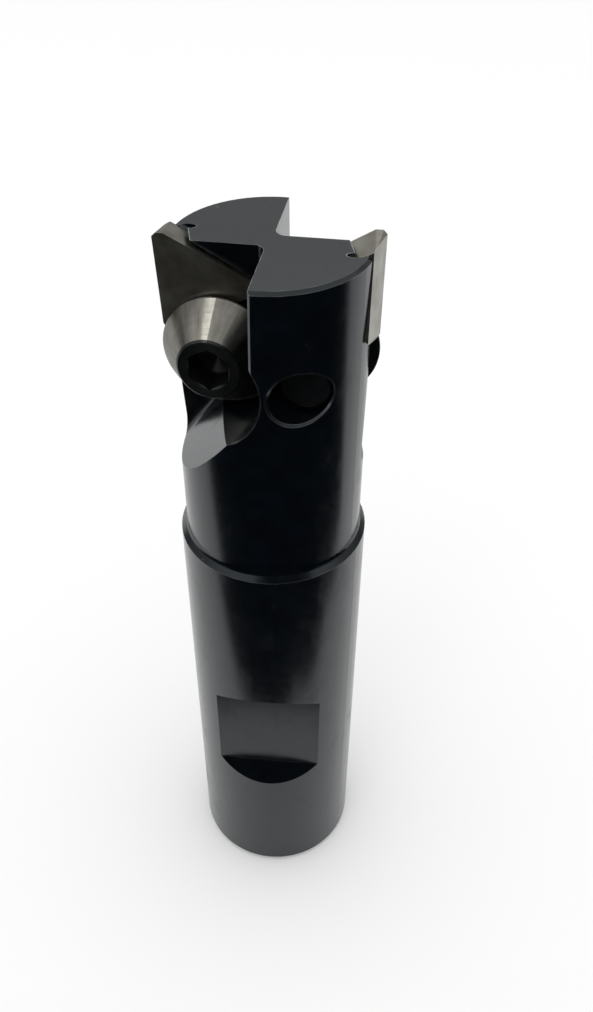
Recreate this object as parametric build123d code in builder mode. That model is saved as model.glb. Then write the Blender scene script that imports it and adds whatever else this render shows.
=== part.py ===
from build123d import *
from math import cos, radians, sin, sqrt, tan
import os

# An indexable end/face mill with a 3/4 in side-lock shank: a turned body with two cutting
# sides, half a turn apart. Each side holds one triangular carbide insert in a vee pocket,
# clamped by a cone-head socket screw. Millimetres, +Z up the tool axis, Z = 0 at the foot
# of the shank. Side 1 has its insert at -X, cutting towards -Y.

# Turned body
shank_dia = 19.05
shank_length = 53.35
neck_dia = 17.8
body_length = 84.06
foot_chamfer = 0.8
shoulder_chamfer = 0.5
neck_root = 0.5  # height of the concave root between neck and shoulder
top_chamfer = 0.3
edge_break = 0.2
profile_turn = -20.2  # degrees from +X of the plane that the profile is drawn in

# Side-lock flat in the shank
flat_depth = 2.03
flat_low = 20.16
flat_high = 32.04
flat_turn = 2.3  # degrees that the flat faces from -Y towards +X

# Chip gullet
axial_rake = 7.2  # lean of gullet wall and insert seat from the tool axis
gullet_wall = -1.0  # Y of the gullet's back wall at the top face
gullet_side = -0.2  # X of the gullet's side wall at the top face, where it meets the back wall
side_lean = 0.5  # degrees that the side wall runs outwards, going down
side_turn = 1.5  # degrees that the side wall runs outwards, going forwards
gullet_corner = 1.0  # radius between back wall and side wall
gullet_root = 1.2  # radius between back wall and run-out
ramp_point = (-6.0, -6.5, 64.42)
ramp_tilt = 56.1  # degrees that the run-out's normal leans from +Z
ramp_turn = 10.6  # degrees that the lean turns from -X towards -Y

# Triangular insert
insert_side = 11.0
insert_thickness = 3.18
insert_relief = 15.0
corner_flat = 0.58  # depth of the flat ground across each corner
corner_bevel = 0.35
edge_x = 9.67  # distance of the side cutting edge from the axis
rake_y = -1.73  # Y of the insert's top corner
corner_z = 85.43  # height of that corner before its flat is ground
seat_gap = 0.02
wall_gap = 0.03
end_wall_opening = 3.0  # degrees that the end wall opens away from the insert
corner_relief = 0.42
pocket_nose = 0.4  # depth of the flat across the vee's point

# Clamp screw
screw_seat = (-4.5, -1.15, 73.78)  # centre of the head's back face
screw_turn = 5.5  # degrees that the screw's axis turns outwards from -Y
head_radius = 5.27
face_radius = 3.0
head_length = 3.55
head_land = 0.25
face_chamfer = 0.2
thread_radius = 2.45
thread_gap = 0.05
tip_depth = 7.1  # from the head's back face to the tip
tip_radius = 2.1
tip_chamfer = 0.35
socket_width = 3.57
socket_depth = 2.4
socket_mouth = 1.97  # radius of the countersunk mouth
pilot_radius = 1.7  # drilled before the hexagon is broached
recess_radius = 5.65
recess_floor = 0.3  # clearance behind the head

SIDES = (1, 2)
shank_r = shank_dia / 2
neck_r = neck_dia / 2
lean = radians(axial_rake)


def on_side(plane, number):
    """The same plane on cutting side 1 or, half a turn on, side 2."""
    turn = Location((0, 0, 0), (0, 0, 180 * (number - 1)))
    return Plane(turn * plane.location)


# Seat directions of side 1: across points inwards, down runs along the seat away from the
# top face, and into points from the rake face into the body.
across = Vector(1, 0, 0)
down = Vector(0, sin(lean), -cos(lean))
into = Vector(0, cos(lean), sin(lean))
corner = Vector(-edge_x, rake_y, corner_z)
insert_plane = Plane(origin=corner, x_dir=across, z_dir=into)

screw_out = Vector(-sin(radians(screw_turn)), -cos(radians(screw_turn)), 0)
screw_plane = Plane(origin=screw_seat, x_dir=(0, 0, 1), z_dir=screw_out)
# Half section of the screw: local X is the radius, local Y runs outwards along the axis.
screw_section = Plane(origin=screw_seat, x_dir=(0, 0, 1), z_dir=screw_out.cross(Vector(0, 0, -1)))

# The turned profile's plane, and with it the seam of the round faces, stands clear of the cuts.
profile_out = Vector(cos(radians(profile_turn)), sin(radians(profile_turn)), 0)
profile_plane = Plane(origin=(0, 0, 0), x_dir=profile_out, z_dir=profile_out.cross(Vector(0, 0, 1)))

flat_out = Vector(sin(radians(flat_turn)), -cos(radians(flat_turn)), 0)
flat_section = Plane(origin=(0, 0, 0), x_dir=flat_out, z_dir=flat_out.cross(Vector(0, 0, 1)))


# ---------------------------------------------------------------- cuts of one cutting side
# Gullet: everything in front of the back wall and outside the side wall, above the ramp.
beyond = 16.0
gullet_run = 30.0
down_the_gullet = Vector(-sin(radians(side_lean)), sin(lean), -cos(lean))
with BuildPart() as gullet:
    with BuildSketch(Plane.XY.offset(body_length)) as gullet_mouth:
        with BuildLine():
            Polyline(
                (gullet_side, gullet_wall),
                (-beyond, gullet_wall),
                (-beyond, -beyond),
                (gullet_side - (beyond + gullet_wall) * tan(radians(side_turn)), -beyond),
                close=True,
            )
        make_face()
        fillet(gullet_mouth.vertices().sort_by(Axis.X)[-1], radius=gullet_corner)
    extrude(amount=gullet_run, dir=down_the_gullet, both=True)
    ramp_lean = radians(ramp_tilt)
    ramp_normal = Vector(
        -sin(ramp_lean) * cos(radians(ramp_turn)),
        -sin(ramp_lean) * sin(radians(ramp_turn)),
        cos(ramp_lean),
    )
    split(bisect_by=Plane(origin=ramp_point, z_dir=ramp_normal), keep=Keep.TOP)
    run_out = gullet.faces().sort_by_distance(ramp_point)[0]
    fillet(run_out.edges().sort_by(lambda edge: edge.center().Y)[-2:], radius=gullet_root)

# Recess round the screw's head, open to the outside, and the threaded hole behind it.
with BuildPart() as screw_cut:
    with BuildSketch(screw_plane.offset(-recess_floor)):
        Circle(recess_radius)
    extrude(amount=beyond)
    with BuildSketch(screw_plane):
        Circle(thread_radius + thread_gap)
    extrude(amount=-beyond)

# Vee pocket of the insert: floor, lower wall and end wall, open outwards and in front.
top_reach = 9.0
end_angle = radians(30 + end_wall_opening)
apex = (insert_side * cos(radians(30)) + 2 * wall_gap, insert_side / 2)
with BuildPart() as pocket:
    with BuildSketch(insert_plane):
        with BuildLine():
            Polyline(
                (apex[0] - pocket_nose, apex[1] - pocket_nose * tan(end_angle)),
                (apex[0] - pocket_nose, apex[1] + pocket_nose * tan(radians(30))),
                (-top_reach, apex[1] + (apex[0] + top_reach) * tan(radians(30))),
                (-top_reach, apex[1] - (apex[0] + top_reach) * tan(end_angle)),
                close=True,
            )
        make_face()
    extrude(amount=insert_thickness + seat_gap, taper=insert_relief)

# Round relief along the corner between the pocket's floor and its end wall.
narrowing = insert_thickness * tan(radians(insert_relief))
relief_start = (
    corner
    + across * (apex[0] - narrowing * sin(end_angle) - corner_relief)
    + down * (apex[1] + narrowing * cos(end_angle) - corner_relief * tan(end_angle))
    + into * insert_thickness
)
relief_run = across * -cos(end_angle) + down * -sin(end_angle)
with BuildPart() as relief:
    with BuildSketch(Plane(origin=relief_start, z_dir=relief_run)):
        Circle(corner_relief)
    extrude(amount=beyond)


# ---------------------------------------------------------------- cutter body
with BuildPart() as cutter_body:
    with BuildSketch(profile_plane):
        with BuildLine():
            Polyline(
                (0, 0),
                (shank_r - foot_chamfer, 0),
                (shank_r, foot_chamfer),
                (shank_r, shank_length - shoulder_chamfer),
                (shank_r - shoulder_chamfer, shank_length),
            )
            root = RadiusArc(
                (shank_r - shoulder_chamfer, shank_length),
                (neck_r, shank_length + neck_root),
                neck_root * 1.5,
            )
            Polyline(
                root @ 1,
                (neck_r, body_length - top_chamfer),
                (neck_r - top_chamfer, body_length),
                (0, body_length),
                (0, 0),
            )
        make_face()
    revolve(axis=Axis.Z)

    with BuildSketch(flat_section):
        floor_r = shank_r - flat_depth
        mouth = 3.0
        with BuildLine():
            Polyline(
                (floor_r, flat_low),
                (floor_r, flat_high),
                (floor_r + mouth, flat_high + mouth),
                (floor_r + mouth, flat_low - mouth),
                close=True,
            )
        make_face()
    extrude(amount=shank_dia, both=True, mode=Mode.SUBTRACT)

    with PolarLocations(0, len(SIDES)):
        for cut in (gullet, screw_cut, pocket, relief):
            add(cut.part, mode=Mode.SUBTRACT)

    # Edge breaks on the gullet's side wall, the recess and the hole's exit, where they meet
    # the outside of the head
    wall_front = Vector(0, -neck_r, body_length - 4)
    recess_rim = Vector(0.8, -neck_r, screw_seat[2] - 1)
    exit_rim = Vector(-screw_seat[0], -neck_r, screw_seat[2] - thread_radius)
    breaks = []
    for number in SIDES:
        for spot in (wall_front, recess_rim, exit_rim):
            place = on_side(Plane(spot), number).origin
            breaks.append(cutter_body.edges().sort_by_distance(place)[0])
    chamfer(breaks, edge_break)
cutter_body.part.label = "cutter_body"


# ---------------------------------------------------------------- inserts
# The outline of one insert: three equal corners, each crossed by a flat that is square to
# one side and bevelled where the two meet.
height = insert_side * cos(radians(30))
corners = (Vector(0, 0), Vector(height, insert_side / 2), Vector(0, insert_side))
outline = []
for index, tip in enumerate(corners):
    square_side = (corners[index - 1] - tip).normalized()
    other_side = (corners[(index + 1) % 3] - tip).normalized()
    flat_start = tip + square_side * corner_flat
    flat_end = tip + other_side * (2 * corner_flat)
    along_flat = (flat_end - flat_start).normalized()
    outline += [flat_start + square_side * corner_bevel, flat_start + along_flat * corner_bevel, flat_end]

inserts = {}
for number in SIDES:
    with BuildPart() as insert:
        with BuildSketch(on_side(insert_plane, number)):
            with BuildLine():
                Polyline(*outline, close=True)
            make_face()
        extrude(amount=insert_thickness, taper=insert_relief)
    insert.part.label = f"insert_{number}"
    inserts[number] = insert


# ---------------------------------------------------------------- clamp screws
socket_corner = socket_width / sqrt(3)
clamp_screws = {}
for number in SIDES:
    with BuildPart() as screw:
        axis_plane = on_side(screw_plane, number)
        with BuildSketch(on_side(screw_section, number)):
            with BuildLine():
                Polyline(
                    (0, -tip_depth),
                    (tip_radius, -tip_depth),
                    (thread_radius, -tip_depth + tip_chamfer),
                    (thread_radius, 0),
                    (head_radius, 0),
                    (head_radius, head_land),
                    (face_radius, head_length - face_chamfer),
                    (face_radius - face_chamfer, head_length),
                    (0, head_length),
                    close=True,
                )
            make_face()
        revolve(axis=Axis(axis_plane.origin, axis_plane.z_dir))
        with BuildSketch(axis_plane.offset(head_length)):
            RegularPolygon(socket_corner, 6)
        extrude(amount=-socket_depth, mode=Mode.SUBTRACT)
        # Countersunk mouth of the socket and the drill point at its bottom
        with BuildSketch(on_side(screw_section, number)):
            with BuildLine():
                Polyline(
                    (0, head_length),
                    (socket_mouth, head_length),
                    (pilot_radius, head_length - socket_mouth + pilot_radius),
                    (pilot_radius, head_length - socket_depth),
                    (0, head_length - socket_depth - pilot_radius * tan(radians(30))),
                    close=True,
                )
            make_face()
        revolve(axis=Axis(axis_plane.origin, axis_plane.z_dir), mode=Mode.SUBTRACT)
    screw.part.label = f"clamp_screw_{number}"
    clamp_screws[number] = screw


# ---------------------------------------------------------------- files
os.makedirs("parts", exist_ok=True)
for piece in (cutter_body, *inserts.values(), *clamp_screws.values()):
    export_step(piece.part, f"parts/{piece.part.label}.step")
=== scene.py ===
"""Looks of an indexable end/face mill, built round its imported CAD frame. Metres, +Z up."""

from math import cos, pi, radians, sin

import bpy
from mathutils import Matrix, Vector

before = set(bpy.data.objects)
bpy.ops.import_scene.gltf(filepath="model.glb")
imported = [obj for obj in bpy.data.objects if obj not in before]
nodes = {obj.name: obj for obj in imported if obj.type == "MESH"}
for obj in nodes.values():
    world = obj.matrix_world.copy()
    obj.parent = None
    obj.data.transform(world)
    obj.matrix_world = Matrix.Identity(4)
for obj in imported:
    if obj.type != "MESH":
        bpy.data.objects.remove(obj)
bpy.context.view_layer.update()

MM = 0.001
scene = bpy.context.scene

# Clamp screw of side 1, as in the CAD; side 2 is its half-turn copy. Millimetres.
SCREW_SEAT = Vector((-4.5, -1.15, 73.78))
SCREW_TURN = radians(5.5)
HEAD_LENGTH = 3.55
FACE_RADIUS = 3.0
THREAD_RADIUS = 2.45
THREAD_PITCH = 0.8


# ---------------------------------------------------------------- node helpers
class Shader:
    """A material's node tree, with short calls to add and link nodes."""

    def __init__(self, name):
        self.material = bpy.data.materials.new(name)
        self.material.use_nodes = True
        self.tree = self.material.node_tree
        self.bsdf = self.tree.nodes["Principled BSDF"]

    def add(self, kind, values=None, **settings):
        node = self.tree.nodes.new(kind)
        for key, value in settings.items():
            setattr(node, key, value)
        for socket, value in (values or {}).items():
            if isinstance(value, bpy.types.NodeSocket):
                self.tree.links.new(value, node.inputs[socket])
            else:
                node.inputs[socket].default_value = value
        return node

    def link(self, output, socket):
        self.tree.links.new(output, self.bsdf.inputs[socket])

    def set(self, **values):
        for key, value in values.items():
            self.bsdf.inputs[key.replace("_", " ")].default_value = value

    def place(self, scale=(1, 1, 1)):
        """Object coordinates in millimetres, times scale."""
        coordinates = self.add("ShaderNodeTexCoord").outputs["Object"]
        stretch = [s / MM for s in scale]
        return self.add("ShaderNodeMapping", {"Vector": coordinates, "Scale": stretch}).outputs[0]

    def noise(self, place, scale, detail=4.0, rough=0.5):
        values = {"Vector": place, "Scale": scale, "Detail": detail, "Roughness": rough}
        return self.add("ShaderNodeTexNoise", values).outputs[0]

    def ramp(self, fac, low, high, start=0.0, end=1.0):
        """A colour or grey that goes from low to high as fac goes from start to end."""
        node = self.add("ShaderNodeValToRGB", {"Fac": fac})
        for element, place, value in zip(node.color_ramp.elements, (start, end), (low, high)):
            element.position = place
            element.color = (*value, 1) if len(value) == 3 else value
        return node.outputs["Color"]

    def mix(self, fac, low, high):
        """low where fac is 0, high where it is 1."""
        node = self.add("ShaderNodeMix", data_type="RGBA")
        for index, value in ((0, fac), (6, low), (7, high)):
            if isinstance(value, bpy.types.NodeSocket):
                self.tree.links.new(value, node.inputs[index])
            else:
                node.inputs[index].default_value = (*value, 1)
        return node.outputs[2]

    def math(self, operation, first, second=0.0):
        return self.add("ShaderNodeMath", {0: first, 1: second}, operation=operation).outputs[0]

    def times(self, first, second):
        return self.math("MULTIPLY", first, second)

    def vector(self, operation, first, second, output="Vector"):
        return self.add("ShaderNodeVectorMath", {0: first, 1: second}, operation=operation).outputs[output]

    def bump(self, height, strength, distance, normal=None):
        """A bump over normal, or over the plain surface; distance is in millimetres."""
        values = {"Height": height, "Strength": strength, "Distance": distance * MM}
        if normal:
            values["Normal"] = normal
        return self.add("ShaderNodeBump", values).outputs[0]

    def step(self, value, start, end):
        """0 up to start and 1 from end on, whichever way round they lie."""
        return self.add("ShaderNodeMapRange", {"Value": value, "From Min": start, "From Max": end}).outputs[0]


def grey(value):
    return (value, value, value)


# ---------------------------------------------------------------- materials
def add_wear(s, radius, start, end, spots):
    """A factor that is up to 1 within radius of sharp edges, broken up by a noise of the scale
    spots, and 0 on open faces. It rises while the rounded edge's normal turns away from the face's,
    from the cosine start to the cosine end."""
    rounded = s.add("ShaderNodeBevel", {"Radius": radius * MM}, samples=8).outputs[0]
    flat = s.add("ShaderNodeNewGeometry").outputs["Normal"]
    sharp = s.step(s.vector("DOT_PRODUCT", rounded, flat, "Value"), start, end)
    return s.times(sharp, s.ramp(s.noise(s.place(), spots), grey(0.25), grey(1.0), 0.35, 0.65))


def body_steel():
    """Black oxide on turned steel: near black, satin, with fine turning lines, rubbed bright
    along the edges and nicked in a few places."""
    s = Shader("black_oxide")
    even = s.place()
    rings = s.place((0.15, 0.15, 6.0))
    oxide = s.ramp(s.noise(even, 0.5), (0.0006, 0.0013, 0.0024), (0.0014, 0.0026, 0.0042), 0.3, 0.7)
    wear = add_wear(s, 0.13, 0.99, 0.8, 0.9)
    nicks = s.ramp(s.noise(even, 2.6, 1.0), grey(0.0), grey(0.5), 0.815, 0.83)
    bare = s.math("MAXIMUM", wear, nicks)
    s.link(s.mix(bare, oxide, (0.42, 0.43, 0.43)), "Base Color")
    s.link(s.times(s.step(bare, 0.0, 0.1), 0.85), "Metallic")
    rough = s.ramp(s.noise(even, 1.2), grey(0.17), grey(0.22), 0.3, 0.7)
    smudge = s.ramp(s.noise(s.place((0.5, 0.5, 0.25)), 1.0), grey(0.0), grey(0.07), 0.55, 0.7)
    s.link(s.math("ADD", rough, smudge), "Roughness")
    s.set(IOR=1.46, Specular_Tint=(0.87, 0.97, 1.0, 1))
    lines = s.bump(s.noise(rings, 1.0), 0.12, 0.004)
    s.link(s.bump(s.noise(even, 9.0), 0.15, 0.003, lines), "Normal")
    return s.material


def carbide():
    """Ground cemented carbide: grey-brown, with fine grinding lines and honed edges."""
    s = Shader("ground_carbide")
    even = s.place()
    lines = s.place((7.0, 7.0, 0.4))
    ground = s.ramp(s.noise(even, 0.5), (0.20, 0.19, 0.155), (0.30, 0.295, 0.265), 0.35, 0.65)
    edge = add_wear(s, 0.07, 0.99, 0.75, 1.5)
    s.link(s.mix(edge, ground, (0.55, 0.54, 0.49)), "Base Color")
    s.link(s.ramp(s.noise(lines, 1.0), grey(0.28), grey(0.38), 0.3, 0.7), "Roughness")
    s.set(Metallic=0.94)
    s.link(s.bump(s.noise(lines, 1.0), 0.15, 0.003), "Normal")
    return s.material


def screw_steel(number):
    """Blackened screw whose cone is turned bare: one material, split by the place on the axis."""
    s = Shader(f"screw_steel_{number}")
    half_turn = -1 if number == 2 else 1
    out = Vector((-sin(SCREW_TURN), -cos(SCREW_TURN), 0)) * half_turn
    seat = Vector((SCREW_SEAT.x * half_turn, SCREW_SEAT.y * half_turn, SCREW_SEAT.z)) * MM
    side = out.cross(Vector((0, 0, 1)))

    # Where a point lies: along the axis from the head's back face, off the axis, and round it
    from_seat = s.vector("SUBTRACT", s.add("ShaderNodeTexCoord").outputs["Object"], seat)
    along = s.vector("DOT_PRODUCT", from_seat, out, "Value")
    off_axis = s.vector("CROSS_PRODUCT", from_seat, out)
    radius = s.add("ShaderNodeVectorMath", {0: off_axis}, operation="LENGTH").outputs["Value"]
    height = s.add("ShaderNodeSeparateXYZ", {0: from_seat}).outputs["Z"]
    angle = s.math("ARCTAN2", height, s.vector("DOT_PRODUCT", from_seat, side, "Value"))

    # 1 on the cone, 0 on the back face, small face, socket, thread and tip
    back = s.step(along, 0.02 * MM, 0.08 * MM)
    front = s.step(along, (HEAD_LENGTH - 0.15) * MM, (HEAD_LENGTH - 0.21) * MM)
    outside = s.step(radius, (FACE_RADIUS - 0.15) * MM, (FACE_RADIUS - 0.05) * MM)
    cone = s.times(s.times(back, front), outside)

    spokes = s.add("ShaderNodeCombineXYZ", {0: angle, 1: s.times(along, 60.0)}).outputs[0]
    rings = s.add("ShaderNodeCombineXYZ", {0: s.times(along, 9 / MM), 1: s.times(angle, 0.4)}).outputs[0]
    turned = s.noise(rings, 1.0)
    bare = s.ramp(s.noise(spokes, 9.0), (0.19, 0.184, 0.163), (0.27, 0.26, 0.23), 0.35, 0.65)
    patches = s.noise(s.place(), 1.5)
    black = s.ramp(patches, (0.0015, 0.002, 0.0025), (0.004, 0.0045, 0.005), 0.3, 0.7)
    wear = s.times(add_wear(s, 0.08, 0.99, 0.8, 1.2), 0.45)
    shown = s.math("MAXIMUM", cone, wear)
    s.link(s.mix(shown, black, bare), "Base Color")
    s.link(s.step(shown, 0.0, 0.1), "Metallic")
    s.link(s.mix(cone, grey(0.3), s.ramp(turned, grey(0.30), grey(0.42), 0.3, 0.7)), "Roughness")
    s.set(IOR=1.45, Anisotropic=0.9, Anisotropic_Rotation=0.25)
    s.link(s.add("ShaderNodeTangent", direction_type="RADIAL", axis="Y").outputs[0], "Tangent")

    # Turning marks on the cone, and the thread's flanks behind the head
    tooled = s.bump(turned, s.times(cone, 0.25), 0.006)
    phase = s.math("SUBTRACT", s.times(along, 2 * pi / (THREAD_PITCH * MM)), angle)
    off_core = s.step(radius, (THREAD_RADIUS - 0.25) * MM, (THREAD_RADIUS - 0.15) * MM)
    threaded = s.times(s.step(along, -0.3 * MM, -0.6 * MM), off_core)
    s.link(s.bump(s.math("SINE", phase), threaded, 0.2, tooled), "Normal")
    return s.material


def dress(node, material):
    nodes[node].data.materials.clear()
    nodes[node].data.materials.append(material)


dress("cutter_body", body_steel())
carbide_material = carbide()
for side in (1, 2):
    dress(f"insert_{side}", carbide_material)
    dress(f"clamp_screw_{side}", screw_steel(side))


# ---------------------------------------------------------------- camera
def add_camera():
    data = bpy.data.cameras.new("camera")
    data.lens = 34.29
    data.sensor_width = 36.0
    data.clip_start = 0.005
    data.clip_end = 20.0
    camera = bpy.data.objects.new("camera", data)
    scene.collection.objects.link(camera)
    forward = Vector((-0.0974, 0.7432, -0.6619)).normalized()
    roll = radians(0.44)
    level_right = forward.cross(Vector((0, 0, 1))).normalized()
    level_up = level_right.cross(forward)
    right = cos(roll) * level_right + sin(roll) * level_up
    up = cos(roll) * level_up - sin(roll) * level_right
    turn = Matrix((right, up, -forward)).transposed().to_4x4()
    camera.matrix_world = Matrix.Translation(Vector((12.07, -73.74, 120.55)) * MM) @ turn
    scene.camera = camera


# ---------------------------------------------------------------- stage and light
def add_stage():
    """A plain white floor."""
    mesh = bpy.data.meshes.new("floor")
    reach = 3.0
    corners = [(-reach, -reach, 0), (reach, -reach, 0), (reach, reach, 0), (-reach, reach, 0)]
    mesh.from_pydata(corners, [], [(0, 1, 2, 3)])
    floor = bpy.data.objects.new("floor", mesh)
    scene.collection.objects.link(floor)
    s = Shader("floor_white")
    s.set(Base_Color=(0.9, 0.9, 0.9, 1), Roughness=0.9)
    mesh.materials.append(s.material)


def add_area(name, place, target, size, power):
    """A soft light that reflections don't see."""
    data = bpy.data.lights.new(name, "AREA")
    data.shape = "RECTANGLE"
    data.size, data.size_y = size
    data.energy = power
    light = bpy.data.objects.new(name, data)
    light.location = place
    light.rotation_mode = "QUATERNION"
    light.rotation_quaternion = (Vector(place) - Vector(target)).to_track_quat("Z", "Y")
    light.visible_glossy = False
    scene.collection.objects.link(light)


def add_flag(name, corners, faces=None, glow=0.0):
    """A card that only reflections see: black, or one that glows. Corners are in millimetres."""
    mesh = bpy.data.meshes.new(name)
    mesh.from_pydata([Vector(c) * MM for c in corners], [], faces or [tuple(range(len(corners)))])
    flag = bpy.data.objects.new(name, mesh)
    scene.collection.objects.link(flag)
    s = Shader(name)
    s.set(Base_Color=(0, 0, 0, 1), Roughness=1.0, IOR=1.0)
    s.set(Emission_Color=(1, 1, 1, 1), Emission_Strength=glow)
    mesh.materials.append(s.material)
    flag.visible_camera = False
    flag.visible_diffuse = False
    flag.visible_shadow = False
    flag.visible_transmission = False


def add_wall(name, radius, low, high, glow):
    """A ring of grey wall round the stage, for reflections only. Millimetres."""
    count = 48
    angles = [radians(360 * i / count) for i in range(count)]
    corners = [(radius * cos(a), radius * sin(a), z) for z in (low, high) for a in angles]
    faces = [(i, (i + 1) % count, count + (i + 1) % count, count + i) for i in range(count)]
    add_flag(name, corners, faces, glow)


def add_world():
    world = bpy.data.worlds.new("studio")
    scene.world = world
    world.use_nodes = True
    background = world.node_tree.nodes["Background"]
    background.inputs["Color"].default_value = (1, 1, 1, 1)
    background.inputs["Strength"].default_value = 1.06


add_camera()
add_stage()
add_world()
add_flag(
    "dark_table",
    [
        (-900, -30, 1), (-900, -900, 1), (900, -900, 1), (900, 170, 1),
        (70, 14, 1), (50, -14, 1), (33, -20, 1), (20, -30, 1),
    ],
)
add_wall("low_wall", 1000, 0, 300, 0.25)
add_wall("high_wall", 1000, 300, 600, 0.55)
add_flag(
    "dark_figure",
    [(-90, -100, 0), (140, -100, 0), (140, -100, 200), (5, -100, 200), (-30, -100, 120), (-90, -100, 120)],
)
add_flag("lamp", [(-235, -150, 440), (-125, -150, 440), (-125, -20, 450), (-235, -20, 450)], glow=9.0)
add_flag("bright_paper", [(-240, 96, 2), (-144, 240, 2), (-144, 240, 70), (-240, 96, 70)], glow=1.6)
add_area("front_light", (-0.1, -0.6, 0.9), (0, 0, 0.03), (0.6, 0.6), 1.4)
scene.view_settings.view_transform = "Standard"
